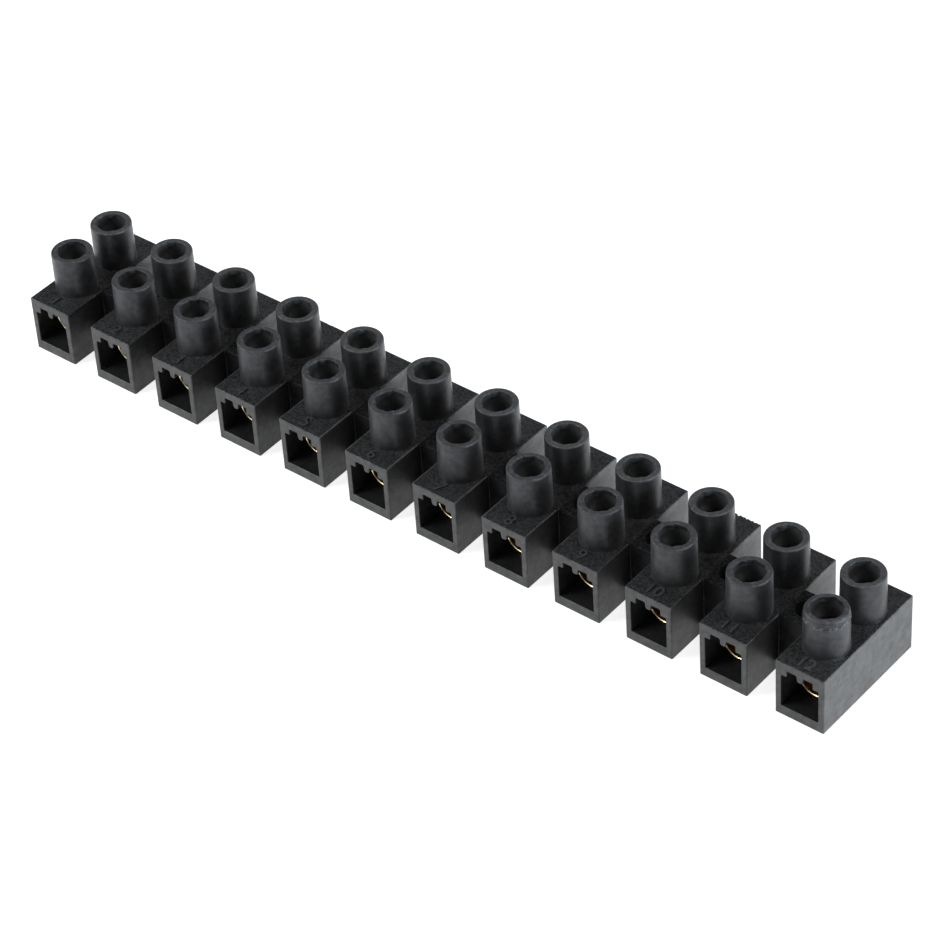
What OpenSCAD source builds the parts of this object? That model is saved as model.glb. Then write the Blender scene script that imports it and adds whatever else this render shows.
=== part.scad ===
// Terminal strip: a row of moulded poles, each with a brass insert and two clamp screws.
// Millimetres. X runs along the row, the front mouths face -Y and Z is up.
// The origin is in the middle of the base. Sizes grow outwards from the wire bore.

/* [Row] */
// Number of poles in the row
pole_count = 12; // [2:1:12]
// Diameter of the fixing hole between two poles
fixing_hole_d = 2.6; // [2:0.1:4]
// Plastic between a fixing hole and the block on each side of it
web_wall = 0.55; // [0.3:0.05:2]
// Depth of the web between two poles, from front to back
web_d = 5; // [4:0.1:8]
// Gap between the web and the surface that the strip stands on
web_lift = 0.6; // [0.2:0.1:4]
// Fillet where a web meets a block
web_fillet = 0.1; // [0.1:0.05:0.9]

/* [Pole block] */
// Thickness of the walls beside the wire tunnel
side_wall = 0.75; // [0.5:0.05:1.5]
// Thickness of the floor under the wire tunnel
floor_t = 1.35; // [0.8:0.05:2]
// Thickness of the roof over the wire tunnel
roof_t = 0.97; // [0.6:0.01:1.6]
// Depth of a mouth, from the face of the block to the brass insert
mouth_d = 2.8; // [1.5:0.1:5]

/* [Mouth stops] */
// Height of the stops' lower edge above the wire bore
stop_clearance = 0.08; // [0.02:0.02:0.3]
// Width of the middle stop at its root
tooth_w = 0.88; // [0.6:0.02:1.1]
// Width of the middle stop at its rounded tip
tooth_tip_w = 0.64; // [0.4:0.02:0.8]
// Width of the slot on each side of the middle stop
slot_w = 1.21; // [0.8:0.01:1.5]

/* [Brass insert] */
// Diameter of the wire bore
wire_bore_d = 3.8; // [3:0.1:6]
// Brass under the wire bore
insert_bottom = 0.5; // [0.3:0.05:1]
// Brass beside the wire bore
insert_side = 0.45; // [0.3:0.05:1]
// Brass above the wire bore, which holds the screw threads
insert_top = 0.88; // [0.6:0.02:2]
// Brass beyond the axis of each clamp screw
insert_end = 2.15; // [1.8:0.05:4]
// Chamfer at each end of the wire bore
bore_chamfer = 0.15; // [0.05:0.05:0.25]
// Clearance between the insert and the tunnel around it
insert_clearance = 0.05; // [0.02:0.01:0.1]

/* [Clamp screws] */
// Distance between the two screws of a pole
screw_spacing = 6.9; // [6:0.1:12]
// Diameter of the threaded hole in the brass
thread_d = 3; // [2.5:0.1:4]
// Clearance around the screw in its threaded hole
thread_clearance = 0.05; // [0.02:0.01:0.1]
// Diameter of a screw head
head_d = 3.3; // [3.1:0.1:4.5]
// Height of a screw head
head_h = 1.1; // [0.8:0.1:2]
// Length of a screw below its head
shank_l = 3.15; // [2:0.05:4]
// Width of the screwdriver slot
driver_slot_w = 0.6; // [0.4:0.1:0.8]
// Depth of the screwdriver slot
driver_slot_d = 0.6; // [0.3:0.1:0.7]
// Chamfer on the edges of a screw
screw_chamfer = 0.2; // [0.05:0.05:0.3]
// How far a loosened screw's tip stays above the wire bore
tip_clearance = 0.05; // [0:0.01:0.3]

/* [Screw towers] */
// Clearance between a screw head and the shaft in its tower
shaft_clearance = 0.15; // [0.05:0.05:0.3]
// Wall of a tower at its foot
tower_wall = 0.8; // [0.5:0.02:1.2]
// Height of a tower above the block
tower_h = 5.4; // [4:0.1:8]
// How much a tower narrows on each side towards its rim
tower_draft = 0.05; // [0.01:0.01:0.15]
// Rounding of a tower's rim
rim_r = 0.25; // [0.05:0.05:0.3]
// Number of nibs in the rim that keep the screw captive
nib_count = 4; // [2:1:6]
// How far a nib reaches into the shaft
nib_reach = 0.25; // [0.2:0.05:0.5]
// Radius of a nib, seen from above
nib_r = 2.4; // [1:0.1:4]
// Height of a nib below the rim
nib_h = 0.8; // [0.4:0.1:1.5]

/* [Hidden] */
$fn = 64;
// Cuts run this far past the faces that they open
cut_past = 0.5;
// Pieces of one moulding run this far into each other
bite = 0.2;

// Brass insert
insert_w = wire_bore_d + 2 * insert_side;
insert_h = insert_bottom + wire_bore_d + insert_top;
insert_l = screw_spacing + 2 * insert_end;

// Wire tunnel and block around it
tunnel_w = insert_w + 2 * insert_clearance;
tunnel_h = insert_h + 2 * insert_clearance;
seat_l = insert_l + 2 * insert_clearance;
block_w = tunnel_w + 2 * side_wall;
block_d = seat_l + 2 * mouth_d;
block_h = floor_t + tunnel_h + roof_t;

// Heights above the base
tunnel_top = floor_t + tunnel_h;
insert_base = floor_t + insert_clearance;
bore_z = insert_base + insert_bottom + wire_bore_d / 2;
bore_top = bore_z + wire_bore_d / 2;
stop_z = bore_top + stop_clearance;
tip_z = bore_top + tip_clearance;
rim_z = block_h + tower_h;

// Towers, webs and the row
shaft_d = head_d + 2 * shaft_clearance;
tower_r = shaft_d / 2 + tower_wall;
gap_w = fixing_hole_d + 2 * web_wall;
pole_pitch = block_w + gap_w;

function two_digits(n) = n < 10 ? str("0", n) : str(n);
function insert_name(i) = str("brass_insert_", two_digits(i));
function front_screw_name(i) = str("clamp_screw_front_", two_digits(i));
function rear_screw_name(i) = str("clamp_screw_rear_", two_digits(i));
function pole_x(i) = (i - (pole_count + 1) / 2) * pole_pitch;

// An outline drawn in X and Z, carried along Y on both sides of the middle
module along_y(length) {
    rotate([90, 0, 0])
        linear_extrude(height = length, center = true)
            children();
}

// The tunnel's section where the insert sits
module tunnel_outline() {
    translate([-tunnel_w / 2, floor_t])
        square([tunnel_w, tunnel_h]);
}

// The tapered stop in the middle of a mouth, with a round tip
module tooth_outline() {
    tip_r = tooth_tip_w / 2;
    translate([0, stop_z + tip_r])
        circle(r = tip_r);
    polygon([
        [-tooth_w / 2, tunnel_top + bite],
        [tooth_w / 2, tunnel_top + bite],
        [tip_r, stop_z + tip_r],
        [-tip_r, stop_z + tip_r]
    ]);
}

// The stop in an upper corner of a mouth, from the slot to the wall
module corner_outline() {
    corner_x = tooth_w / 2 + slot_w;
    translate([corner_x, stop_z])
        square([tunnel_w / 2 - corner_x + bite, tunnel_top - stop_z + bite]);
}

// The opening seen from the front: the tunnel less its three stops
module mouth_outline() {
    difference() {
        tunnel_outline();
        tooth_outline();
        corner_outline();
        mirror([1, 0])
            corner_outline();
    }
}

// Everything cut out for the wire and its insert
module wire_tunnel() {
    along_y(seat_l)
        tunnel_outline();
    along_y(block_d + 2 * cut_past)
        mouth_outline();
}

// A tapered tower with a rounded rim, standing in the block's roof
module tower() {
    top_r = tower_r - tower_draft;
    rotate_extrude() {
        polygon([
            [0, -bite],
            [tower_r, -bite],
            [tower_r, 0],
            [top_r, tower_h - rim_r],
            [top_r - rim_r, tower_h],
            [0, tower_h]
        ]);
        intersection() {
            translate([top_r - rim_r, tower_h - rim_r])
                circle(r = rim_r);
            square([top_r, tower_h]);
        }
    }
}

// The screw's shaft in plan at the rim, narrowed by the nibs
module rim_outline() {
    difference() {
        circle(d = shaft_d);
        for (k = [0 : nib_count - 1])
            rotate((k + 0.5) * 360 / nib_count)
                translate([shaft_d / 2 - nib_reach + nib_r, 0])
                    circle(r = nib_r);
    }
}

// Everything cut out for one screw, from the tunnel up to the rim
module screw_shaft() {
    translate([0, 0, tunnel_top - cut_past])
        cylinder(d = shaft_d, h = rim_z - nib_h - tunnel_top + cut_past);
    translate([0, 0, rim_z - nib_h])
        linear_extrude(height = nib_h + cut_past)
            rim_outline();
}

// One pole of the moulding
module pole() {
    difference() {
        union() {
            translate([-block_w / 2, -block_d / 2, 0])
                cube([block_w, block_d, block_h]);
            for (side = [-1, 1])
                translate([0, side * screw_spacing / 2, block_h])
                    tower();
        }
        wire_tunnel();
        for (side = [-1, 1])
            translate([0, side * screw_spacing / 2, 0])
                screw_shaft();
    }
}

// The fillet in one corner between a web and a block, in plan
module web_corner() {
    translate([gap_w / 2 - web_fillet, web_d / 2 - bite])
        difference() {
            square([web_fillet + bite, web_fillet + bite]);
            translate([0, web_fillet + bite])
                circle(r = web_fillet);
        }
}

// The web between two poles, with its fixing hole
module web() {
    translate([0, 0, web_lift])
        linear_extrude(height = block_h - web_lift)
            difference() {
                union() {
                    square([gap_w + 2 * bite, web_d], center = true);
                    for (x = [0, 1], y = [0, 1])
                        mirror([x, 0])
                            mirror([0, y])
                                web_corner();
                }
                circle(d = fixing_hole_d);
            }
}

// The whole moulding: poles joined by webs
module housing() {
    color("#1d1e20") {
        for (i = [1 : pole_count])
            translate([pole_x(i), 0, 0])
                pole();
        if (pole_count > 1)
            for (i = [1 : pole_count - 1])
                translate([pole_x(i) + pole_pitch / 2, 0, 0])
                    web();
    }
}

// The insert's section: a round underside and a flat top
module insert_outline() {
    round_z = insert_base + insert_w / 2;
    translate([0, round_z])
        circle(d = insert_w);
    translate([-insert_w / 2, round_z])
        square([insert_w, insert_base + insert_h - round_z]);
}

// The chamfer at the front end of the wire bore
module bore_end() {
    translate([0, -insert_l / 2, bore_z])
        rotate([-90, 0, 0])
            cylinder(d1 = wire_bore_d + 2 * bore_chamfer, d2 = wire_bore_d, h = bore_chamfer);
}

// A brass insert with its wire bore and two threaded holes
module brass_insert() {
    color("#b08d3c")
        difference() {
            along_y(insert_l)
                insert_outline();
            along_y(insert_l + 2 * cut_past)
                translate([0, bore_z])
                    circle(d = wire_bore_d);
            for (side = [0, 1])
                mirror([0, side, 0])
                    bore_end();
            for (side = [-1, 1])
                translate([0, side * screw_spacing / 2, bore_z])
                    cylinder(d = thread_d, h = insert_base + insert_h - bore_z + cut_past);
        }
}

// A slotted clamp screw, loosened, with its tip just above the wire bore
module clamp_screw() {
    shank_r = thread_d / 2 - thread_clearance;
    head_r = head_d / 2;
    screw_l = shank_l + head_h;
    color("#b9bab6")
        translate([0, 0, tip_z])
            difference() {
                rotate_extrude()
                    polygon([
                        [0, 0],
                        [shank_r - screw_chamfer, 0],
                        [shank_r, screw_chamfer],
                        [shank_r, shank_l],
                        [head_r, shank_l],
                        [head_r, screw_l - screw_chamfer],
                        [head_r - screw_chamfer, screw_l],
                        [0, screw_l]
                    ]);
                translate([-head_d, -driver_slot_w / 2, screw_l - driver_slot_d])
                    cube([2 * head_d, driver_slot_w, driver_slot_d + cut_past]);
            }
}

housing();
for (i = [1 : pole_count]) {
    translate([pole_x(i), 0, 0]) {
        brass_insert();
        translate([0, -screw_spacing / 2, 0])
            clamp_screw();
        translate([0, screw_spacing / 2, 0])
            clamp_screw();
    }
}
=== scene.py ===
"""Looks for a moulded terminal strip: a black housing, brass inserts and plated clamp screws.

The housing is built again as one mesh with the rounded edges, lips and knocks of the real moulding.
Shapes are worked out in millimetres and brought to metres when a piece is finished.
"""

import math
import random
from types import SimpleNamespace

import bmesh
import bpy
from mathutils import Matrix, Vector, noise


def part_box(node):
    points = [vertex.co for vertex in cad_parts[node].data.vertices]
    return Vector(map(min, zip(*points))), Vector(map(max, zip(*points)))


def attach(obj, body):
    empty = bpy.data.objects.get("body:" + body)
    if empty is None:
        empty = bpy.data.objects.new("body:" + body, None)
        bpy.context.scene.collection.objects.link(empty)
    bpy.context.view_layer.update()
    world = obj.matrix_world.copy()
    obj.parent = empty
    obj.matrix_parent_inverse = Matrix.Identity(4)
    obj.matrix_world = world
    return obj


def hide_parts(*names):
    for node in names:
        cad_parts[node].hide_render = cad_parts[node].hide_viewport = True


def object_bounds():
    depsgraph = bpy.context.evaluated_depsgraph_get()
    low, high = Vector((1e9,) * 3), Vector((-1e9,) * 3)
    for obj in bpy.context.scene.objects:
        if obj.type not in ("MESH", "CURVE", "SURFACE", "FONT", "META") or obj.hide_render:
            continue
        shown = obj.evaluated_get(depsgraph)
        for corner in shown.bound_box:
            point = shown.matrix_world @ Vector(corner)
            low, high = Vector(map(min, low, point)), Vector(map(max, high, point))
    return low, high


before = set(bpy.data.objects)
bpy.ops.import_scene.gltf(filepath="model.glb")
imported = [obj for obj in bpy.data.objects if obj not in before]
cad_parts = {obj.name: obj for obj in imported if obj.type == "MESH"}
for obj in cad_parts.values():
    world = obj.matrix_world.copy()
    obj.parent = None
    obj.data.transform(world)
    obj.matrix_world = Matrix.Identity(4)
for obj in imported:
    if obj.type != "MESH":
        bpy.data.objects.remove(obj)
cad_low, cad_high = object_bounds()
scene = bpy.context.scene

MM = 0.001
PER_MM = 1 / MM


def node_middle(name):
    """The middle of a CAD node's box, in millimetres."""
    low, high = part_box(name)
    return (low + high) / 2 * PER_MM


# Places taken from the frame, in millimetres
INSERTS = sorted(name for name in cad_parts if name.startswith("brass_insert_"))
SCREWS = sorted(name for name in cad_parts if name.startswith("clamp_screw_"))
POLE_X = [node_middle(name).x for name in INSERTS]
PITCH = POLE_X[1] - POLE_X[0]
SCREW_Y = [node_middle("clamp_screw_front_01").y, node_middle("clamp_screw_rear_01").y]
HALF_WIDTH = POLE_X[0] - cad_low.x * PER_MM
HALF_DEPTH = cad_high.y * PER_MM
END_X = POLE_X[-1] + HALF_WIDTH
RIM_Z = cad_high.z * PER_MM

# Blocks and webs
BLOCK_TOP = 7.6
WEB_HALF_DEPTH = 2.5
WEB_LIFT = 0.6
WEB_FILLET = 0.03
CORNER_R = 0.16
EDGE_R = 0.13
FIXING_HOLE_R = 1.3
HOLE_LIP = 0.1

# Wire tunnels and the stops in their mouths
TUNNEL_HALF_WIDTH = 2.4
TUNNEL_FLOOR = 1.35
TUNNEL_TOP = 6.63
SEAT_HALF_LENGTH = 5.65
STOP_Z = 5.78
STOP_X = 1.65
TOOTH_ROOT = 0.44
TOOTH_TIP = 0.34
TOOTH_TIP_R = 0.28
MOUTH_CORNER_R = 0.14
MOUTH_LIP = 0.1

# Screw towers and the shafts in them
TOWER_FOOT_R = 2.6
TOWER_TOP_R = 2.55
TOWER_FILLET = 0.04
RIM_R = 0.23
SHAFT_R = 1.8
SHAFT_LIP = 0.12
SHAFT_UNEVEN = 0.12
NIB_COUNT = 4
NIB_REACH = 0.14
NIB_R = 2.4
NIB_H = 0.8
# The nibs are fullest a little way down and slope back to the rim, as (below the rim, share of the reach)
NIB_SLOPE = ((0.6, 0.85), (0.5, 1), (0.35, 1), (0.22, 0.8))
NIB_AT_RIM = 0.55

# The knocked tower: plain up to KNOCK_DOWN below the rim, then a torn ridge, then a blunter rim
KNOCK_DOWN = 1.5
KNOCK_OUT = 0.01
RIDGE_DOWN = 0.98
RIDGE_WAVE = 0.14
# Steps over the ridge, as (above its own line, out from the side, how uneven)
RIDGE_STEPS = ((-0.2, 0.01, 0), (-0.05, 0.06, 0.04), (0.03, 0.05, 0.04), (0.1, -0.03, 0.02))
BLUNT_RIM_R = 0.44
BLUNT_NARROWER = 0.03
BLUNT_UNEVEN = 0.05
BLUNT_DROOP = 0.06
KNOCKED_SHAFT_UNEVEN = 0.14
# How quickly uneven edges change on the way round
RAGGEDNESS = 1.6
# The way that the knock came from
KNOCK_SIDE = (0.5, -0.86, 0)

# Chipped rear edges, as (pole, number of chips, deepest chip)
CHIPPED_EDGES = ((10, 6, 0.5), (4, 4, 0.2))
# The run of chips begins here from the middle of its pole, and is this long
CHIPS_START = -0.2
CHIPS_LENGTH = HALF_WIDTH + 0.1
# How the chips differ, as ranges to draw from
CHIP_STRAY = (-0.08, 0.08)
CHIP_SHARE = (0.4, 1)
CHIP_OUT = (-0.02, 0.05)
CHIP_UP = (0, 0.05)
CHIP_REACH = (0.28, 0.41)
CHIP_SEED = 5
LUMP_SLICES = 8
LUMP_SIDES = 12

# Flash on the right top edge of one block
FLASH_POLE = 7
FLASH_START = -8.2
FLASH_LENGTH = 2.5
FLASH_INSET = 0.12
FLASH_SUNK = 0.02
# Half its width and its height, each with how much it varies, and the share that is left at its ends
FLASH_HALF_WIDTH = 0.06
FLASH_WIDTH_VARIES = 0.03
FLASH_HEIGHT = 0.15
FLASH_HEIGHT_VARIES = 0.08
FLASH_AT_ENDS = 0.15
FLASH_STEPS = 20
FLASH_SIDES = 10

# Brass inserts
INSERT_HALF_WIDTH = 2.35
INSERT_BASE = 1.4
INSERT_TOP = 6.58
INSERT_HALF_LENGTH = 5.6
INSERT_EDGE = 0.1
INSERT_SIDES = 48
BORE_Z = 3.8
BORE_R = 1.9
BORE_CHAMFER = 0.07
THREAD_HOLE_R = 1.5
THREAD_HOLE_CHAMFER = 0.12

# Clamp screws
SCREW_TIP = 5.75
SHANK_R = 1.45
SHANK_LENGTH = 3.15
HEAD_R = 1.65
HEAD_H = 1.1
HEAD_UNDER_R = 0.08
SCREW_CHAMFER = 0.2
THREAD_PITCH = 0.5
THREAD_DEPTH = 0.26
THREAD_RUNOUT = 0.4
THREAD_STEPS = 12
GROOVE_WIDTH = 1.25
GROOVE_SLOPE = 1.5
DRIVER_SLOT_HALF = 0.3
DRIVER_SLOT_DEPTH = 0.6
SCREW_SEED = 21

# Raised pole numbers on the blocks
NUMBER_SIZE = 2.3
NUMBER_RISE = 0.18
NUMBER_Y = -7.25
NUMBER_STEPS = 3

# How finely round shapes are drawn
ROUND_SIDES = 96
SCREW_SIDES = 48
CORNER_STEPS = 5
EDGE_STEPS = 4
# Edges that turn by more degrees than this are shaded sharp
HOUSING_SHARP = 50
METAL_SHARP = 40
# How far a cut or a joint runs past the face that it meets
PAST = 0.4
# A hair's breadth that keeps two faces of a cut from lying in one plane
HAIR = 0.004
# Points closer than this are one point, in numbers and in finished pieces
NUMBER_MERGE = 0.001
PIECE_MERGE = 0.0005


# Building meshes

def heading(turn):
    """A unit vector at a turn."""
    return Vector((math.cos(turn), math.sin(turn)))


def rounded_outline(corners):
    """Points and outward normals round a closed outline; corners are (x, y, radius), anticlockwise."""
    outline = []
    for k, (x, y, radius) in enumerate(corners):
        here = Vector((x, y))
        arrive = (here - Vector(corners[k - 1][:2])).normalized()
        leave = (Vector(corners[(k + 1) % len(corners)][:2]) - here).normalized()
        turn = math.atan2(arrive.cross(leave), arrive.dot(leave))
        bulge = 1 if turn > 0 else -1
        side = Vector((arrive.y, -arrive.x))
        start = here - arrive * radius * math.tan(abs(turn) / 2)
        centre = start - side * radius * bulge
        for step in range(CORNER_STEPS + 1):
            normal = Matrix.Rotation(turn * step / CORNER_STEPS, 2) @ side
            outline.append((centre + normal * radius * bulge, normal))
    return outline


def quarter_round(radius):
    """Steps over a rounded edge, as (in from the side, in from the end), from the side to the end."""
    turns = [math.pi / 2 * step / EDGE_STEPS for step in range(EDGE_STEPS + 1)]
    return [(radius * (1 - math.cos(t)), radius * (1 - math.sin(t))) for t in turns]


def loft_into(bm, rings):
    """Adds a closed skin through rings of points, capped at both ends."""
    made = [[bm.verts.new(point) for point in ring] for ring in rings]
    count = len(made[0])
    for lower, upper in zip(made, made[1:]):
        for k in range(count):
            n = (k + 1) % count
            bm.faces.new((lower[k], lower[n], upper[n], upper[k]))
    bm.faces.new(list(reversed(made[0])))
    bm.faces.new(made[-1])


def object_from(name, bm):
    """An object in the scene that holds what was built."""
    mesh = bpy.data.meshes.new(name)
    bm.to_mesh(mesh)
    bm.free()
    made = bpy.data.objects.new(name, mesh)
    scene.collection.objects.link(made)
    return made


def lofts(name, ring_sets):
    """An object holding one closed skin for each set of rings."""
    bm = bmesh.new()
    for rings in ring_sets:
        loft_into(bm, rings)
    bmesh.ops.recalc_face_normals(bm, faces=bm.faces)
    return object_from(name, bm)


def settled(made):
    """A plain mesh of an object, with its modifiers worked in."""
    bpy.context.view_layer.update()
    return bpy.data.meshes.new_from_object(made.evaluated_get(bpy.context.evaluated_depsgraph_get()))


def carve(body, tool, operation):
    """Joins the tool to the body or cuts it away, and then drops the tool."""
    step = body.modifiers.new("carve", "BOOLEAN")
    step.operation = operation
    step.solver = "EXACT"
    step.object = tool
    carved = settled(body)
    body.modifiers.remove(step)
    worn_out = body.data
    body.data = carved
    bpy.data.meshes.remove(worn_out)
    bpy.data.objects.remove(tool)


def turns_round(count):
    """Angles all the way round."""
    return [2 * math.pi * k / count for k in range(count)]


def round_point(x, y, z, radius, turn):
    """A point at a turn round an upright axis."""
    return (x + radius * math.cos(turn), y + radius * math.sin(turn), z)


def circle(x, y, z, radius, sides=ROUND_SIDES):
    """A ring of points round an upright axis."""
    return [round_point(x, y, z, radius, turn) for turn in turns_round(sides)]


def hoop(y, z, radius):
    """A ring of points round an axis that runs from front to back."""
    return [(radius * math.sin(t), y, z + radius * math.cos(t)) for t in turns_round(ROUND_SIDES)]


def lump_rings(middle, reach):
    """A small egg-shaped lump with its own reach along each axis."""
    rings = []
    for step in range(1, LUMP_SLICES):
        slant = math.pi * step / LUMP_SLICES
        across = math.sin(slant)
        up = -math.cos(slant) * reach[2]
        ring = []
        for t in turns_round(LUMP_SIDES):
            point = Vector((across * reach[0] * math.cos(t), across * reach[1] * math.sin(t), up))
            ring.append(Vector(middle) + point)
        rings.append(ring)
    return rings


def box_rings(low, high):
    """A plain box."""
    plan = [(low[0], low[1]), (high[0], low[1]), (high[0], high[1]), (low[0], high[1])]
    return [[(x, y, z) for x, y in plan] for z in (low[2], high[2])]


# Housing

def comb_outline():
    """The strip seen from above: blocks with webs between them."""
    front = []
    for x in POLE_X:
        left, right = x - HALF_WIDTH, x + HALF_WIDTH
        if x != POLE_X[0]:
            front.append((left, -WEB_HALF_DEPTH, WEB_FILLET))
        front += [(left, -HALF_DEPTH, CORNER_R), (right, -HALF_DEPTH, CORNER_R)]
        if x != POLE_X[-1]:
            front.append((right, -WEB_HALF_DEPTH, WEB_FILLET))
    back = [(-x, -y, radius) for x, y, radius in front]
    return rounded_outline(front + back)


def comb():
    """Blocks and webs as one body with rounded edges."""
    outline = comb_outline()
    levels = list(reversed(quarter_round(EDGE_R)))
    levels += [(inset, BLOCK_TOP - height) for inset, height in quarter_round(EDGE_R)]
    rings = []
    for inset, z in levels:
        rings.append([(*(point - normal * inset), z) for point, normal in outline])
    return lofts("moulded_housing", [rings])


def tower_foot_rings(x, y):
    """The foot of a tower, with its fillet, from inside the block upwards."""
    rings = [circle(x, y, BLOCK_TOP - PAST, TOWER_FOOT_R)]
    # The fillet starts just under the block's top, so that it crosses that face at an angle
    sunk = BLOCK_TOP - HAIR * 4
    for up, out in quarter_round(TOWER_FILLET):
        rings.append(circle(x, y, sunk + up, TOWER_FOOT_R + out))
    return rings


def tower_rings(x, y):
    """A tapered tower with a filleted foot and a rounded rim."""
    rings = tower_foot_rings(x, y)
    for inset, down in quarter_round(RIM_R):
        rings.append(circle(x, y, RIM_Z - down, TOWER_TOP_R - inset))
    return rings


def ragged(turn, height, seed):
    """An uneven value from about -1 to 1 that runs smoothly round a tower."""
    x, y = math.cos(turn) * RAGGEDNESS, math.sin(turn) * RAGGEDNESS
    return noise.noise(Vector((x, y, height + seed)))


def knocked_tower_rings(x, y):
    """The tower whose rim was struck: a blunter rim above a torn ridge."""
    rings = tower_foot_rings(x, y)
    rings.append(circle(x, y, RIM_Z - KNOCK_DOWN, TOWER_TOP_R + KNOCK_OUT))
    for above, out, uneven in RIDGE_STEPS:
        ring = []
        for turn in turns_round(ROUND_SIDES):
            z = RIM_Z - RIDGE_DOWN + RIDGE_WAVE * ragged(turn * 2, 0, 7) + above
            radius = TOWER_TOP_R + out + uneven * ragged(turn * 5, above, 3)
            ring.append(round_point(x, y, z, radius, turn))
        rings.append(ring)
    for inset, down in quarter_round(BLUNT_RIM_R):
        part = inset / BLUNT_RIM_R
        ring = []
        for turn in turns_round(ROUND_SIDES):
            radius = TOWER_TOP_R - BLUNT_NARROWER - inset + BLUNT_UNEVEN * part * ragged(turn * 3, 2, 11)
            droop = BLUNT_DROOP * part * max(0, ragged(turn, 5, 1))
            ring.append(round_point(x, y, RIM_Z - down - droop, radius, turn))
        rings.append(ring)
    return rings


def shaft_radius(turn, reach):
    """The shaft's radius, narrowed by nibs of the given reach."""
    middle = SHAFT_R - reach + NIB_R
    spread = 2 * math.pi / NIB_COUNT
    off = (turn % spread) - spread / 2
    span = NIB_R ** 2 - (middle * math.sin(off)) ** 2
    if span <= 0:
        return SHAFT_R
    return min(SHAFT_R, middle * math.cos(off) - math.sqrt(span))


def shaft_rings(x, y, uneven):
    """Everything cut out for one screw, from the tunnel up to the rounded lip."""

    def lobed(z, reach, wider):
        """A ring with nibs that come out by a share of their full reach."""
        ring = []
        for turn in turns_round(ROUND_SIDES):
            radius = shaft_radius(turn, reach * NIB_REACH) + wider
            radius += uneven * ragged(turn * 2, z * 1.5, x + y)
            ring.append(round_point(x, y, z, radius, turn))
        return ring

    rings = [circle(x, y, TUNNEL_TOP - PAST, SHAFT_R), circle(x, y, RIM_Z - NIB_H, SHAFT_R)]
    rings += [lobed(RIM_Z - down, reach, 0) for down, reach in NIB_SLOPE]
    for wider, down in quarter_round(SHAFT_LIP):
        rings.append(lobed(RIM_Z - down + HAIR, NIB_AT_RIM, wider))
    rings.append(lobed(RIM_Z + PAST, NIB_AT_RIM, SHAFT_LIP + HAIR))
    return rings


def hole_rings(x):
    """A fixing hole through a web, with a softened upper edge."""
    rings = [circle(x, 0, WEB_LIFT - PAST, FIXING_HOLE_R)]
    for wider, down in quarter_round(HOLE_LIP):
        rings.append(circle(x, 0, BLOCK_TOP - down + HAIR, FIXING_HOLE_R + wider))
    rings.append(circle(x, 0, BLOCK_TOP + PAST, FIXING_HOLE_R + HOLE_LIP + HAIR))
    return rings


def mouth_rings(x):
    """The opening right through a pole, less its stops, with softened edges at both faces."""
    half = [
        (TUNNEL_HALF_WIDTH, TUNNEL_FLOOR, MOUTH_CORNER_R),
        (TUNNEL_HALF_WIDTH, STOP_Z, MOUTH_CORNER_R),
        (STOP_X, STOP_Z, MOUTH_CORNER_R),
        (STOP_X, TUNNEL_TOP, MOUTH_CORNER_R),
        (TOOTH_ROOT, TUNNEL_TOP, MOUTH_CORNER_R),
        (TOOTH_TIP, STOP_Z, TOOTH_TIP_R),
    ]
    outline = rounded_outline(half + [(-a, z, radius) for a, z, radius in reversed(half)])
    lip = [(wider, HALF_DEPTH - into) for into, wider in reversed(quarter_round(MOUTH_LIP))]
    stations = [(MOUTH_LIP + HAIR, -HALF_DEPTH - PAST)]
    stations += [(wider, -y - HAIR) for wider, y in reversed(lip)]
    stations += [(wider, y + HAIR) for wider, y in lip]
    stations.append((MOUTH_LIP + HAIR, HALF_DEPTH + PAST))
    rings = []
    for wider, y in stations:
        ring = [point + normal * wider for point, normal in outline]
        rings.append([(x + across, y, up) for across, up in ring])
    return rings


def raised_numbers():
    """The pole numbers as one object, standing a little proud of the blocks."""
    bm = bmesh.new()
    for k, x in enumerate(POLE_X):
        letters = bpy.data.curves.new("pole_number", "FONT")
        letters.body = str(k + 1)
        letters.size = NUMBER_SIZE
        letters.align_x = "CENTER"
        letters.align_y = "CENTER"
        letters.resolution_u = NUMBER_STEPS
        written = bpy.data.objects.new("pole_number", letters)
        scene.collection.objects.link(written)
        mesh = settled(written)
        mesh.transform(Matrix.Translation((x, NUMBER_Y, BLOCK_TOP - NUMBER_RISE)))
        bm.from_mesh(mesh)
        bpy.data.objects.remove(written)
        bpy.data.meshes.remove(mesh)
    bmesh.ops.remove_doubles(bm, verts=bm.verts, dist=NUMBER_MERGE)
    # The shapes are filled again from their outlines, without slivers
    inner = [edge for edge in bm.edges if len(edge.link_faces) == 2]
    bmesh.ops.delete(bm, geom=inner, context="EDGES_FACES")
    bmesh.ops.triangle_fill(bm, use_beauty=True, edges=bm.edges)
    raised = bmesh.ops.extrude_face_region(bm, geom=bm.faces[:])
    upper = [part for part in raised["geom"] if isinstance(part, bmesh.types.BMVert)]
    bmesh.ops.translate(bm, vec=(0, 0, 2 * NUMBER_RISE), verts=upper)
    bmesh.ops.recalc_face_normals(bm, faces=bm.faces)
    return object_from("pole_numbers", bm)


def edge_chips():
    """Nicks out of the rear top edges of two blocks, side by side and clear of each other."""
    chance = random.Random(CHIP_SEED)
    chips = []
    for pole, count, deepest in CHIPPED_EDGES:
        start = POLE_X[pole - 1] + CHIPS_START
        room = CHIPS_LENGTH / count
        for k in range(count):
            x = start + room * (k + 0.5 + chance.uniform(*CHIP_STRAY))
            size = deepest * chance.uniform(*CHIP_SHARE)
            middle = (x, HALF_DEPTH + chance.uniform(*CHIP_OUT), BLOCK_TOP + chance.uniform(*CHIP_UP))
            chips.append(lump_rings(middle, (room * chance.uniform(*CHIP_REACH), size, size)))
    return chips


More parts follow.
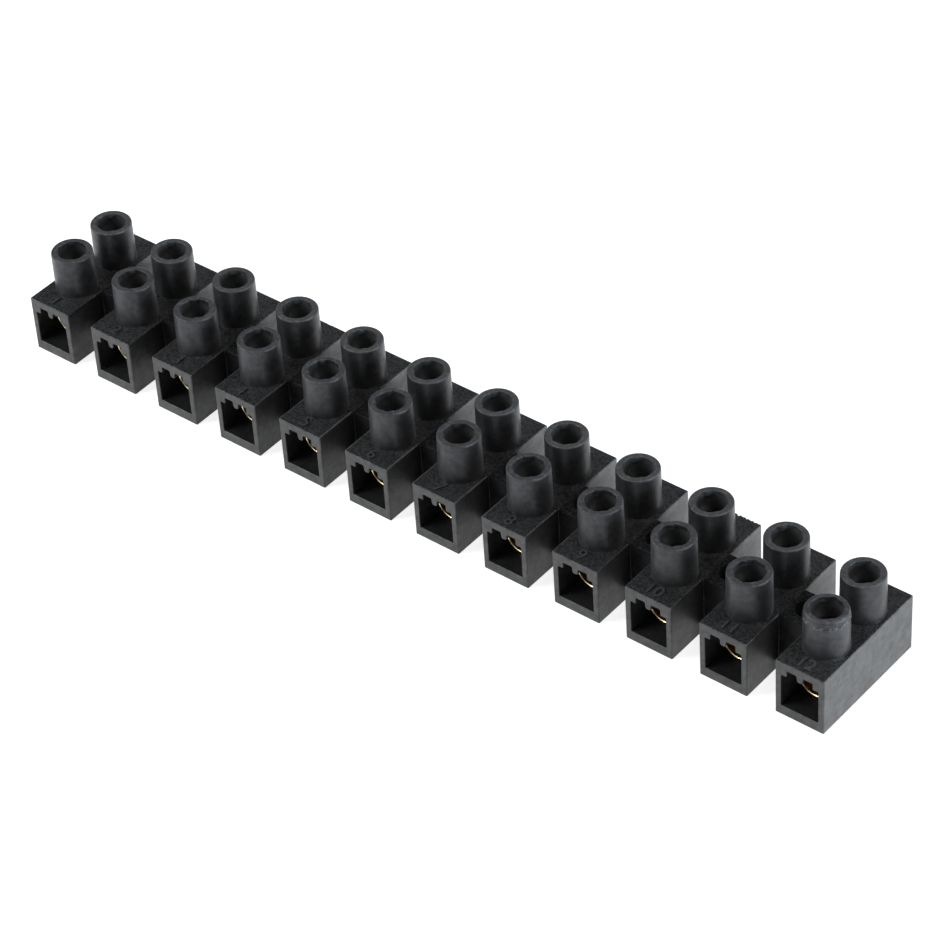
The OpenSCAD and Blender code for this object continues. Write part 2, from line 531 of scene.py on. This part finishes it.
def edge_flash():
    """A thin ridge of flash left standing along the right top edge of one block."""
    x = POLE_X[FLASH_POLE - 1] + HALF_WIDTH - FLASH_INSET
    foot = BLOCK_TOP - FLASH_SUNK
    rings = []
    for step in range(FLASH_STEPS + 1):
        y = FLASH_START + FLASH_LENGTH * step / FLASH_STEPS
        fade = FLASH_AT_ENDS + math.sin(math.pi * step / FLASH_STEPS) ** 0.5
        wide = fade * (FLASH_HALF_WIDTH + FLASH_WIDTH_VARIES * noise.noise(Vector((y * 2, 0, 4))))
        tall = fade * (FLASH_HEIGHT + FLASH_HEIGHT_VARIES * noise.noise(Vector((y * 3, 0, 9))))
        ring = [(x + wide * math.cos(t), y, foot + tall * math.sin(t)) for t in turns_round(FLASH_SIDES)]
        rings.append(ring)
    return rings


def housing():
    """The whole moulding."""
    gaps = [(a + b) / 2 for a, b in zip(POLE_X, POLE_X[1:])]
    gap_half = PITCH / 2 - HALF_WIDTH
    places = [(x, y) for x in POLE_X for y in SCREW_Y]
    knocked = (POLE_X[-1], SCREW_Y[0])
    towers = []
    shafts = []
    for x, y in places:
        struck = (x, y) == knocked
        towers.append(knocked_tower_rings(x, y) if struck else tower_rings(x, y))
        shafts.append(shaft_rings(x, y, KNOCKED_SHAFT_UNEVEN if struck else SHAFT_UNEVEN))
    under_webs = []
    for x in gaps:
        low = (x - gap_half + HAIR, -WEB_HALF_DEPTH - PAST, -PAST)
        high = (x + gap_half - HAIR, WEB_HALF_DEPTH + PAST, WEB_LIFT)
        under_webs.append(box_rings(low, high))
    seats = []
    for x in POLE_X:
        low = (x - TUNNEL_HALF_WIDTH - HAIR, -SEAT_HALF_LENGTH, TUNNEL_FLOOR - HAIR)
        high = (x + TUNNEL_HALF_WIDTH + HAIR, SEAT_HALF_LENGTH, TUNNEL_TOP + HAIR)
        seats.append(box_rings(low, high))

    made = comb()
    carve(made, lofts("towers", towers), "UNION")
    carve(made, raised_numbers(), "UNION")
    carve(made, lofts("flash", [edge_flash()]), "UNION")
    carve(made, lofts("under_webs", under_webs), "DIFFERENCE")
    carve(made, lofts("seats", seats), "DIFFERENCE")
    carve(made, lofts("mouths", [mouth_rings(x) for x in POLE_X]), "DIFFERENCE")
    carve(made, lofts("round_cuts", shafts + [hole_rings(x) for x in gaps]), "DIFFERENCE")
    carve(made, lofts("chips", edge_chips()), "DIFFERENCE")
    return made


# Inserts and screws

def insert():
    """A brass insert about its own pole: round below, flat above, with its bore and screw holes."""
    centre = Vector((0, INSERT_BASE + INSERT_HALF_WIDTH))
    outline = []
    for step in range(INSERT_SIDES + 1):
        normal = heading(math.pi + math.pi * step / INSERT_SIDES)
        outline.append((centre + normal * INSERT_HALF_WIDTH, normal))
    for side, first in ((1, 0), (-1, math.pi / 2)):
        corner = Vector((side * (INSERT_HALF_WIDTH - INSERT_EDGE), INSERT_TOP - INSERT_EDGE))
        for step in range(CORNER_STEPS + 1):
            normal = heading(math.pi / 2 * step / CORNER_STEPS + first)
            outline.append((corner + normal * INSERT_EDGE, normal))
    ends = [(inset, INSERT_HALF_LENGTH - back) for inset, back in quarter_round(INSERT_EDGE)]
    stations = [(inset, -y) for inset, y in reversed(ends)] + ends
    rings = []
    for inset, y in stations:
        drawn_in = [point - normal * inset for point, normal in outline]
        rings.append([(point.x, y, point.y) for point in drawn_in])
    made = lofts("brass_insert", [rings])

    mouth = (BORE_R + BORE_CHAMFER + PAST, INSERT_HALF_LENGTH + PAST)
    throat = (BORE_R, INSERT_HALF_LENGTH - BORE_CHAMFER)
    bore = [hoop(-y, BORE_Z, radius) for radius, y in (mouth, throat)]
    bore += [hoop(y, BORE_Z, radius) for radius, y in (throat, mouth)]
    carve(made, lofts("bore", [bore]), "DIFFERENCE")
    holes = []
    for y in SCREW_Y:
        holes.append([
            circle(0, y, BORE_Z, THREAD_HOLE_R),
            circle(0, y, INSERT_TOP - THREAD_HOLE_CHAMFER, THREAD_HOLE_R),
            circle(0, y, INSERT_TOP + THREAD_HOLE_CHAMFER, THREAD_HOLE_R + 2 * THREAD_HOLE_CHAMFER),
        ])
    carve(made, lofts("screw_holes", holes), "DIFFERENCE")
    return made


def clamp_screw():
    """A clamp screw on its own axis, with a rolled thread and a screwdriver slot."""
    steps = round(SHANK_LENGTH / THREAD_PITCH * THREAD_STEPS)
    rings = []
    for step in range(steps + 1):
        z = SHANK_LENGTH * step / steps
        runout = min(1, (SHANK_LENGTH - z) / THREAD_RUNOUT)
        ring = []
        for k, turn in enumerate(turns_round(SCREW_SIDES)):
            along = (z / THREAD_PITCH - k / SCREW_SIDES) % 1
            groove = min(1, max(0, GROOVE_WIDTH - abs(along * 2 - 1) * GROOVE_SLOPE))
            radius = SHANK_R - THREAD_DEPTH * groove * runout
            radius = min(radius, SHANK_R - SCREW_CHAMFER + z)
            ring.append(round_point(0, 0, SCREW_TIP + z, radius, turn))
        rings.append(ring)
    under = SCREW_TIP + SHANK_LENGTH
    for inset, up in reversed(quarter_round(HEAD_UNDER_R)):
        rings.append(circle(0, 0, under + up, HEAD_R - inset, SCREW_SIDES))
    for inset, down in quarter_round(SCREW_CHAMFER):
        rings.append(circle(0, 0, under + HEAD_H - down, HEAD_R - inset, SCREW_SIDES))
    made = lofts("clamp_screw", [rings])
    low = (-HEAD_R - PAST, -DRIVER_SLOT_HALF, under + HEAD_H - DRIVER_SLOT_DEPTH)
    high = (HEAD_R + PAST, DRIVER_SLOT_HALF, under + HEAD_H + PAST)
    carve(made, lofts("driver_slot", [box_rings(low, high)]), "DIFFERENCE")
    return made


def finish_mesh(made, sharp_angle):
    """Clears slivers from a piece, brings it from millimetres to metres and smooths its shading."""
    bm = bmesh.new()
    bm.from_mesh(made.data)
    bmesh.ops.remove_doubles(bm, verts=bm.verts, dist=PIECE_MERGE)
    bmesh.ops.dissolve_degenerate(bm, edges=bm.edges, dist=PIECE_MERGE)
    bm.to_mesh(made.data)
    bm.free()
    made.data.transform(Matrix.Scale(MM, 4))
    made.data.shade_smooth()
    made.data.set_sharp_from_angle(angle=math.radians(sharp_angle))
    return made


def even_shading(made):
    """Lets the large flat faces rule the shading of the rounded edges between them."""
    weighted = made.modifiers.new("flat_faces", "WEIGHTED_NORMAL")
    weighted.keep_sharp = True


# Making the pieces

moulding = finish_mesh(housing(), HOUSING_SHARP)
even_shading(moulding)
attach(moulding, "strip")
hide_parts("housing")


def stand_in(pattern, name, place, turn, body):
    """Puts a copy of a pattern piece in the place of one CAD node."""
    made = bpy.data.objects.new("visible_" + name, pattern.data)
    made.location = place
    made.rotation_euler.z = turn
    scene.collection.objects.link(made)
    even_shading(made)
    bpy.context.view_layer.update()
    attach(made, body)
    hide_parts(name)
    return made


insert_pattern = finish_mesh(insert(), METAL_SHARP)
screw_pattern = finish_mesh(clamp_screw(), METAL_SHARP)
insert_pieces = []
for name, x in zip(INSERTS, POLE_X):
    insert_pieces.append(stand_in(insert_pattern, name, (x * MM, 0, 0), 0, "strip"))
screw_chance = random.Random(SCREW_SEED)
screw_pieces = []
for name in SCREWS:
    middle = node_middle(name) * MM
    turn = screw_chance.uniform(0, math.pi)
    screw_pieces.append(stand_in(screw_pattern, name, (middle.x, middle.y, 0), turn, name))
bpy.data.objects.remove(insert_pattern)
bpy.data.objects.remove(screw_pattern)


# Building finishes

def node(tree, kind, **settings):
    """Adds a node and sets its own values."""
    made = tree.nodes.new(kind)
    for name, value in settings.items():
        setattr(made, name, value)
    return made


def feed(tree, made, values):
    """Fills a node's inputs: another node's output is linked, anything else is set."""
    for key, value in values.items():
        if isinstance(value, bpy.types.NodeSocket):
            tree.links.new(value, made.inputs[key])
        else:
            made.inputs[key].default_value = value
    return made


def maths(tree, operation, a, b=0.0):
    """One sum on two values."""
    return feed(tree, node(tree, "ShaderNodeMath", operation=operation), {0: a, 1: b}).outputs[0]


def product(tree, first, *others):
    """All the values multiplied."""
    for other in others:
        first = maths(tree, "MULTIPLY", first, other)
    return first


def largest(tree, first, *others):
    """The largest of the values."""
    for other in others:
        first = maths(tree, "MAXIMUM", first, other)
    return first


def without(tree, value):
    """One less a value: what a mask leaves out."""
    return maths(tree, "SUBTRACT", 1.0, value)


def ramp(tree, value, low, high, to_low=0.0, to_high=1.0):
    """A smooth step from one value to another."""
    made = node(tree, "ShaderNodeMapRange", interpolation_type="SMOOTHSTEP")
    values = {"Value": value, "From Min": low, "From Max": high, "To Min": to_low, "To Max": to_high}
    return feed(tree, made, values).outputs["Result"]


def between(tree, mask, to_low, to_high):
    """A value that goes from one level to another as a mask goes from 0 to 1."""
    return ramp(tree, mask, 0.0, 1.0, to_low, to_high)


def blend(tree, factor, first, second):
    """A mix of two colours."""
    made = node(tree, "ShaderNodeMix", data_type="RGBA")
    return feed(tree, made, {"Factor": factor, "A": first, "B": second}).outputs["Result"]


def vector_maths(tree, operation, first, second=(0, 0, 0)):
    """One sum on two vectors."""
    made = node(tree, "ShaderNodeVectorMath", operation=operation)
    return feed(tree, made, {0: first, 1: second}).outputs


def split(tree, vector):
    """The X, Y and Z of a vector."""
    return feed(tree, node(tree, "ShaderNodeSeparateXYZ"), {0: vector}).outputs


def new_group(name, takes, gives):
    """An empty shader node group with named sockets."""
    made = bpy.data.node_groups.new(name, "ShaderNodeTree")
    for label, kind, value in takes:
        socket = made.interface.new_socket(label, in_out="INPUT", socket_type=kind)
        if value is not None:
            socket.default_value = value
    for label, kind in gives:
        made.interface.new_socket(label, in_out="OUTPUT", socket_type=kind)
    return made, node(made, "NodeGroupInput"), node(made, "NodeGroupOutput")


def use_group(tree, group, values):
    """Adds a node group and fills its inputs."""
    return feed(tree, node(tree, "ShaderNodeGroup", node_tree=group), values)


def clouds(tree, given, detail):
    """Cloudy noise at a group's place and scale."""
    values = {"Vector": given.outputs["Place"], "Scale": given.outputs["Per Millimetre"], "Detail": detail}
    return feed(tree, node(tree, "ShaderNodeTexNoise"), values).outputs[0]


def patches_group():
    """Soft patches: a mask from 0 to 1 with a size in patches per millimetre and a coverage."""
    takes = [
        ("Place", "NodeSocketVector", None),
        ("Per Millimetre", "NodeSocketFloat", 1.0),
        ("From", "NodeSocketFloat", 0.4),
        ("To", "NodeSocketFloat", 0.6),
    ]
    made, given, out = new_group("soft_patches", takes, [("Mask", "NodeSocketFloat")])
    mask = ramp(made, clouds(made, given, 4.0), given.outputs["From"], given.outputs["To"])
    made.links.new(mask, out.inputs["Mask"])
    return made


def grain_group():
    """Fine grain as a bent normal, with the depth of the grain in metres and an amount from 0 to 1."""
    takes = [
        ("Place", "NodeSocketVector", None),
        ("Per Millimetre", "NodeSocketFloat", 4.0),
        ("Depth", "NodeSocketFloat", 0.00001),
        ("Amount", "NodeSocketFloat", 1.0),
    ]
    gives = [("Normal", "NodeSocketVector"), ("Height", "NodeSocketFloat")]
    made, given, out = new_group("fine_grain", takes, gives)
    cloud = clouds(made, given, 2.0)
    height = maths(made, "MULTIPLY", cloud, given.outputs["Amount"])
    bump = feed(made, node(made, "ShaderNodeBump"), {"Height": height, "Distance": given.outputs["Depth"]})
    made.links.new(bump.outputs[0], out.inputs["Normal"])
    made.links.new(cloud, out.inputs["Height"])
    return made


soft_patches = patches_group()
fine_grain = grain_group()


def patches(tree, place, per_mm, low, high):
    """A mask of soft patches."""
    values = {"Place": place, "Per Millimetre": per_mm, "From": low, "To": high}
    return use_group(tree, soft_patches, values).outputs["Mask"]


def grained(tree, shader, place, per_mm, depth, amount=1.0):
    """Bends a shader's normal with fine grain, and gives the grain's height."""
    values = {"Place": place, "Per Millimetre": per_mm, "Depth": depth, "Amount": amount}
    grain = use_group(tree, fine_grain, values)
    tree.links.new(grain.outputs["Normal"], shader.inputs["Normal"])
    return grain.outputs["Height"]


def start_material(name):
    """A new material with its tree, its shader, and places on the piece in millimetres."""
    made = bpy.data.materials.new(name)
    made.use_nodes = True
    tree = made.node_tree
    where = node(tree, "ShaderNodeTexCoord")
    scaled = node(tree, "ShaderNodeVectorMath", operation="SCALE")
    feed(tree, scaled, {0: where.outputs["Object"], "Scale": PER_MM})
    return made, tree, tree.nodes["Principled BSDF"], scaled.outputs[0], where.outputs["Normal"]


# Black plastic

PLASTIC_DARK = (0.006, 0.0061, 0.0065, 1)
PLASTIC_PALE = (0.009, 0.0092, 0.0097, 1)
GRAIN_TIPS = (0.016, 0.0162, 0.0168, 1)
# A grey for dust deep in the shafts, which also carries the light painted in the rear shafts
SHAFT_DUST_AND_LIGHT = (0.024, 0.0242, 0.0246, 1)
# A grey for handled rims and raised numbers, which also carries the light painted on the rear rims
HANDLED_AND_LIT_PLASTIC = (0.03, 0.0302, 0.031, 1)
# A pale grey for wear, and for the light painted on the ends, the rear sides and the top side edges
PALE_WEAR_AND_LIGHT = (0.13, 0.131, 0.134, 1)
TOWER_TINT = (0.96, 0.975, 1.04, 1)
WHITE = (1, 1, 1, 1)
# Patches, as (per millimetre, from, to)
MOTTLE = (0.5, 0.35, 0.65)
STREAKS = (1.4, 0.3, 0.7)
SCUFFS = (2.6, 0.45, 0.75)
BLOTCHES = (0.8, 0.3, 0.7)
SCRAPES = (2.2, 0.4, 0.75)
FLAKES = (1.9, 0.47, 0.6)
# Grain, as (per millimetre, depth in metres)
PLASTIC_GRAIN = (3.5, 0.0001)


def moulding_parts(tree, place, facing):
    """Masks for the parts of the moulding, with where a point lies and which way it faces."""
    at = split(tree, place)
    face = split(tree, facing)
    part = SimpleNamespace(place=place, x=at["X"], y=at["Y"], height=at["Z"])
    part.from_middle = maths(tree, "ABSOLUTE", part.x)
    part.from_centre_line = maths(tree, "ABSOLUTE", part.y)
    part.from_pole = maths(tree, "PINGPONG", maths(tree, "SUBTRACT", part.x, POLE_X[0]), PITCH / 2)
    sides = [maths(tree, "ABSOLUTE", face[axis]) for axis in "XYZ"]
    sideways = ramp(tree, sides[0], 0.75, 0.95)
    upward = ramp(tree, face["Z"], 0.6, 0.95)

    # Levels, from the tops of the blocks to the rims of the towers
    part.tower = ramp(tree, part.height, BLOCK_TOP + 0.06, BLOCK_TOP + 0.3)
    part.block = without(tree, part.tower)
    top_level = product(tree, part.block, ramp(tree, part.height, BLOCK_TOP - 0.4, BLOCK_TOP - 0.2))
    part.block_top = product(tree, upward, top_level)
    rim_level = ramp(tree, part.height, RIM_Z - 0.4, RIM_Z - 0.1)
    part.rim = product(tree, rim_level, ramp(tree, face["Z"], 0.3, 0.7))
    above_block = ramp(tree, part.height, BLOCK_TOP + 0.08, BLOCK_TOP + 0.12)
    below_towers = ramp(tree, part.height, BLOCK_TOP + 0.4, BLOCK_TOP + 0.3)
    part.number_top = product(tree, above_block, below_towers, upward)

    # Rounded edges of the blocks, where all three parts of the facing direction are short of one
    past_web = ramp(tree, part.from_centre_line, WEB_HALF_DEPTH + 0.05, WEB_HALF_DEPTH + 0.3)
    part.edge = product(tree, ramp(tree, largest(tree, *sides), 0.97, 0.8), top_level, past_web)
    beside = ramp(tree, part.from_pole, HALF_WIDTH - 0.22, HALF_WIDTH - 0.14)
    upper = product(tree, ramp(tree, part.height, BLOCK_TOP - 0.12, BLOCK_TOP - 0.06), part.block)
    part.side_edge = product(tree, beside, upper, past_web)

    # The ends of the strip, the sides of the blocks, the webs between them and the shafts
    part.rear = ramp(tree, part.y, -1.0, 1.0)
    part.end = ramp(tree, part.from_middle, END_X - 0.2, END_X - 0.1)
    side = product(tree, beside, part.block, sideways)
    past_rear_web = ramp(tree, part.y, WEB_HALF_DEPTH, WEB_HALF_DEPTH + 1.0)
    part.rear_side = product(tree, maths(tree, "SUBTRACT", side, part.end), past_rear_web)
    part.front_side = product(tree, side, without(tree, part.end), without(tree, part.rear))
    part.deep_side = product(tree, part.front_side, ramp(tree, part.from_centre_line, 6.0, WEB_HALF_DEPTH))
    part.web = product(tree, ramp(tree, part.from_pole, HALF_WIDTH + 0.02, HALF_WIDTH + 0.08), part.block)
    from_row = maths(tree, "SUBTRACT", part.from_centre_line, SCREW_Y[1])
    squares = [product(tree, length, length) for length in (part.from_pole, from_row)]
    from_axis = maths(tree, "SQRT", maths(tree, "ADD", *squares))
    part.shaft = product(tree, ramp(tree, from_axis, SHAFT_R + 0.15, SHAFT_R), part.tower)
    return part


def pale_specks(tree, place):
    """A few pale specks, scattered thinly."""
    cells = feed(tree, node(tree, "ShaderNodeTexVoronoi"), {"Vector": place, "Scale": 0.9})
    chosen = feed(tree, node(tree, "ShaderNodeSeparateColor"), {0: cells.outputs["Color"]})
    rare = maths(tree, "GREATER_THAN", chosen.outputs[0], 0.9)
    return product(tree, ramp(tree, cells.outputs["Distance"], 0.1, 0.05), rare, 0.5)


def knocked_flakes(tree, place):
    """Pale flakes along the ridge of the knocked tower, on the side that was struck."""
    from_ridge = vector_maths(tree, "SUBTRACT", place, (POLE_X[-1], SCREW_Y[0], RIM_Z - RIDGE_DOWN))[0]
    struck = ramp(tree, vector_maths(tree, "DOT_PRODUCT", from_ridge, KNOCK_SIDE)["Value"], -0.3, 1.2)
    nearby = ramp(tree, vector_maths(tree, "LENGTH", from_ridge)["Value"], 3.0, 2.7)
    from_level = maths(tree, "ABSOLUTE", split(tree, from_ridge)["Z"])
    band = ramp(tree, from_level, 0.3, 0.12)
    return product(tree, struck, nearby, band, patches(tree, place, *FLAKES), 0.55)


def plastic_wear_and_light(tree, part):
    """How much wear and painted light the plastic has, from 0 to 1."""
    scuffs = patches(tree, part.place, *SCUFFS)
    rubbed_edge = product(tree, part.edge, between(tree, scuffs, 0.2, 0.8))
    lighter_rim = product(tree, part.rim, 0.3, scuffs)
    # Light lines along the sides of the tops, most in the middle of the strip: painted highlights on the
    # edges, with some rubbing
    painted_edge_lines = product(tree, part.side_edge, ramp(tree, part.from_middle, 32.0, 10.0, 0.06, 0.5))
    # Painted light: the ends of the strip are painted lighter all over, and so are the rear halves of the
    # blocks' sides, in blotches and with streaks of scrapes
    blotches = between(tree, patches(tree, part.place, *BLOTCHES), 0.10, 0.32)
    drawn_out = vector_maths(tree, "MULTIPLY", part.place, (1, 0.2, 1))[0]
    scrapes = product(tree, patches(tree, drawn_out, *SCRAPES), 0.16)
    side_light_and_scrapes = maths(tree, "ADD", blotches, scrapes)
    # Painted light on the ends and the rear sides of the blocks, paler than the plastic itself
    painted_side_light = product(tree, largest(tree, part.end, part.rear_side), side_light_and_scrapes)
    marks = [pale_specks(tree, part.place), knocked_flakes(tree, part.place)]
    return largest(tree, rubbed_edge, lighter_rim, painted_edge_lines, painted_side_light, *marks)


def plastic_colour(tree, part, grain, mottle, wear_and_painted_light):
    """The plastic's colour, from clean to wear and painted light."""
    clean = blend(tree, mottle, PLASTIC_DARK, PLASTIC_PALE)
    pebbled = blend(tree, product(tree, part.block_top, grain), clean, GRAIN_TIPS)
    # Dust down the screw shafts; the rear shafts are painted lighter right up to the rim, as painted light
    well_down = ramp(tree, part.height, RIM_Z - 0.45, RIM_Z - 0.75)
    shaft_dust_and_light = product(tree, largest(tree, well_down, part.rear), part.shaft)
    with_shaft_dust_and_light = blend(tree, shaft_dust_and_light, pebbled, SHAFT_DUST_AND_LIGHT)
    # Rims are handled lighter, and the rear rims are painted lighter than the front ones: painted light
    lighter_rim = product(tree, part.rim, between(tree, part.rear, 0.55, 1.0))
    handled_with_painted_light = blend(tree, largest(tree, lighter_rim, part.number_top), with_shaft_dust_and_light, HANDLED_AND_LIT_PLASTIC)
    # Wear and painted light both pale the plastic towards one grey
    return blend(tree, wear_and_painted_light, handled_with_painted_light, PALE_WEAR_AND_LIGHT)


def plastic_shine(tree, part, grain, mottle):
    """How strongly the plastic shines: unevenly, most on the grained tops and least between the blocks."""
    streaks = between(tree, patches(tree, part.place, *STREAKS), 0.45, 0.63)
    shine = maths(tree, "ADD", streaks, between(tree, mottle, -0.05, 0.05))
    top_shine = ramp(tree, part.y, -HALF_DEPTH, HALF_DEPTH, 0.78, 1.12)
    shares = (
        (part.web, 0.28),
        (part.front_side, 0.75),
        (part.rear_side, 1.4),
        (part.deep_side, 0.45),
        (part.block_top, top_shine),
    )
    for mask, share in shares:
        shine = product(tree, shine, between(tree, mask, 1.0, share))
    pits = ramp(tree, grain, 0.35, 0.65, -0.3, 0.3)
    return maths(tree, "ADD", shine, product(tree, pits, part.block_top))


def black_plastic():
    """Moulded black plastic: grained tops, smoother towers, scuffed rims and edges, and painted light on
    the ends, the rear sides, the top side edges and the rear rims and shafts.
    """
    made, tree, shader, place, facing = start_material("moulded_black_plastic")
    part = moulding_parts(tree, place, facing)
    # Grain on the tops of the blocks, and a slighter one elsewhere
    rough_part = largest(tree, part.block_top, product(tree, part.rim, 0.6))
    grain = grained(tree, shader, place, *PLASTIC_GRAIN, between(tree, rough_part, 0.15, 1.0))
    mottle = patches(tree, place, *MOTTLE)
    wear_and_painted_light = plastic_wear_and_light(tree, part)

    # A slanting look sees the moulded skin smoother
    slant = feed(tree, node(tree, "ShaderNodeLayerWeight"), {"Blend": 0.5})
    dry_part = product(tree, maths(tree, "ADD", part.tower, part.rim), 0.08)
    skin = maths(tree, "ADD", between(tree, mottle, 0.38, 0.44), dry_part)
    smoothed = maths(tree, "SUBTRACT", skin, product(tree, slant.outputs["Facing"], 0.12))
    feed(tree, shader, {
        "Base Color": plastic_colour(tree, part, grain, mottle, wear_and_painted_light),
        "Roughness": maths(tree, "ADD", smoothed, product(tree, wear_and_painted_light, 0.1)),
        "Specular IOR Level": plastic_shine(tree, part, grain, mottle),
        "Specular Tint": blend(tree, part.tower, WHITE, TOWER_TINT),
        "Sheen Weight": between(tree, largest(tree, part.web, part.deep_side), 0.17, 0.03),
        "Sheen Roughness": 0.4,
    })
    return made


# Brass and steel

BORE_BRASS = (0.5, 0.28, 0.09, 1)
BORE_TARNISH = (0.13, 0.06, 0.02, 1)
EDGE_BRASS = (0.84, 0.70, 0.44, 1)
SHADED_END_BRASS = (0.07, 0.04, 0.015, 1)
BRIGHT_ZINC = (0.62, 0.62, 0.60, 1)
DULL_ZINC = (0.42, 0.41, 0.38, 1)
SLOT_SHADE = (0.08, 0.075, 0.065, 1)
TARNISH = (1.6, 0.35, 0.7)
DULL_PATCHES = (1.2, 0.35, 0.65)
BRASS_GRAIN = (7.0, 0.000008)
STEEL_GRAIN = (9.0, 0.000006)


def brass():
    """Machined brass, dulled brown in patches, with bright broken edges and painted shade on its end
    faces.
    """
    made, tree, shader, place, facing = start_material("machined_brass")
    tarnish = patches(tree, place, *TARNISH)
    endward = maths(tree, "ABSOLUTE", split(tree, facing)["Y"])
    bored = blend(tree, tarnish, BORE_BRASS, BORE_TARNISH)
    broken_edge = blend(tree, ramp(tree, endward, 0.4, 0.6), bored, EDGE_BRASS)
    drawn = ramp(tree, endward, 0.4, 0.6, 0.28, 0.16)
    grained(tree, shader, place, *BRASS_GRAIN)
    # The end faces get a near-black brass: painted shade
    feed(tree, shader, {
        "Base Color": blend(tree, ramp(tree, endward, 0.85, 0.95), broken_edge, SHADED_END_BRASS),
        "Roughness": maths(tree, "ADD", between(tree, tarnish, 0.12, 0.24), drawn),
        "Metallic": 1,
    })
    return made


def steel():
    """Zinc-plated steel with dull patches, and painted shade in the bottom of the screwdriver slot."""
    made, tree, shader, place, facing = start_material("zinc_plated_steel")
    dulled = patches(tree, place, *DULL_PATCHES)
    plated = blend(tree, dulled, BRIGHT_ZINC, DULL_ZINC)
    head_top = SCREW_TIP + SHANK_LENGTH + HEAD_H
    below_top = maths(tree, "SUBTRACT", head_top, split(tree, place)["Z"])
    # The floor of the screwdriver slot is darkened: painted shade
    in_slot = product(tree, ramp(tree, below_top, 0.3, 0.5), ramp(tree, below_top, 0.8, 0.7))
    slot_shade = product(tree, in_slot, ramp(tree, split(tree, facing)["Z"], 0.8, 0.95))
    grained(tree, shader, place, *STEEL_GRAIN)
    feed(tree, shader, {
        "Base Color": blend(tree, slot_shade, plated, SLOT_SHADE),
        "Roughness": between(tree, dulled, 0.24, 0.42),
        "Metallic": 1,
    })
    return made


def dress(piece, material):
    """Gives a piece, and all that share its mesh, one material all over."""
    piece.data.materials.clear()
    piece.data.materials.append(material)


dress(moulding, black_plastic())
dress(insert_pieces[0], brass())
dress(screw_pieces[0], steel())


# Floor, light and camera

FLOOR_SIZE = 6.0
PAPER = (0.8, 0.8, 0.8, 1)
FAINT_PAPER = (0.6, 0.6, 0.6, 1)
WORLD_GREY = (0.05, 0.05, 0.052, 1)
LAMP_AIM = Vector((0, 0, 0.005))
# Lamps, as (name, place, size, watts, colour)
LAMPS = (
    ("key_lamp", (0.45, 0.15, 0.85), 0.4, 4, (1, 1, 1)),
    ("end_lamp", (0.85, 0.20, 0.16), 0.3, 9, (0.8, 0.92, 1)),
    ("left_lamp", (-0.35, -0.35, 0.30), 0.3, 2.9, (0.92, 0.97, 1)),
    ("front_panel", (-0.20, -0.85, 0.55), 0.8, 2.2, (1, 1, 1)),
    ("back_panel", (-0.49, 0.58, 0.65), 0.7, 0.4, (1, 1, 1)),
)

# The photograph's camera
CAMERA_AZIMUTH = math.radians(41.3597)
CAMERA_HEIGHT = math.radians(40.1621)
CAMERA_ROLL = math.radians(-4.0132)
CAMERA_AIM = Vector((60.8077, -65.0195, 77.3056)) * MM
CAMERA_AWAY = 308.9614 * MM
CAMERA_LENS = 140.5942
CAMERA_SENSOR = 36


def floor():
    """A large flat floor at the foot of the strip."""
    half = FLOOR_SIZE / 2
    corners = [(-half, -half, 0), (half, -half, 0), (half, half, 0), (-half, half, 0)]
    bm = bmesh.new()
    bm.faces.new([bm.verts.new(corner) for corner in corners])
    made = object_from("floor", bm)
    return made


def floor_white():
    """White paper that stays white to the camera and in reflections, and keeps a soft shadow."""
    made = bpy.data.materials.new("white_paper")
    made.use_nodes = True
    tree = made.node_tree
    tree.nodes.clear()
    out = node(tree, "ShaderNodeOutputMaterial")
    path = node(tree, "ShaderNodeLightPath")
    rays = [path.outputs[kind] for kind in ("Is Camera Ray", "Is Glossy Ray", "Is Transmission Ray")]
    paper = feed(tree, node(tree, "ShaderNodeBsdfDiffuse"), {"Color": PAPER})
    faint = feed(tree, node(tree, "ShaderNodeBsdfDiffuse"), {"Color": FAINT_PAPER})
    glow = feed(tree, node(tree, "ShaderNodeEmission"), {"Color": PAPER})
    both = feed(tree, node(tree, "ShaderNodeAddShader"), {0: faint.outputs[0], 1: glow.outputs[0]})
    mix = node(tree, "ShaderNodeMixShader")
    feed(tree, mix, {0: largest(tree, *rays), 1: paper.outputs[0], 2: both.outputs[0]})
    tree.links.new(mix.outputs[0], out.inputs["Surface"])
    return made


def softbox(name, place, size, watts, colour):
    """A square lamp that faces the strip."""
    lamp = bpy.data.lights.new(name, "AREA")
    lamp.size = size
    lamp.energy = watts
    lamp.color = colour
    made = bpy.data.objects.new(name, lamp)
    made.location = place
    made.rotation_euler = (LAMP_AIM - Vector(place)).to_track_quat("-Z", "Y").to_euler()
    scene.collection.objects.link(made)


dress(floor(), floor_white())
for lamp in LAMPS:
    softbox(*lamp)

world = bpy.data.worlds.new("studio")
world.use_nodes = True
world.node_tree.nodes["Background"].inputs["Color"].default_value = WORLD_GREY
scene.world = world
scene.view_settings.view_transform = "Standard"

back = Vector((
    math.sin(CAMERA_AZIMUTH) * math.cos(CAMERA_HEIGHT),
    -math.cos(CAMERA_AZIMUTH) * math.cos(CAMERA_HEIGHT),
    math.sin(CAMERA_HEIGHT),
))
camera = bpy.data.objects.new("camera", bpy.data.cameras.new("camera"))
camera.data.lens = CAMERA_LENS
camera.data.sensor_width = CAMERA_SENSOR
camera.data.clip_start = 0.01
camera.data.clip_end = 20
level = (-back).to_track_quat("-Z", "Y").to_matrix()
camera.rotation_euler = (level @ Matrix.Rotation(CAMERA_ROLL, 3, "Z")).to_euler()
camera.location = CAMERA_AIM + back * CAMERA_AWAY
scene.collection.objects.link(camera)
scene.camera = camera
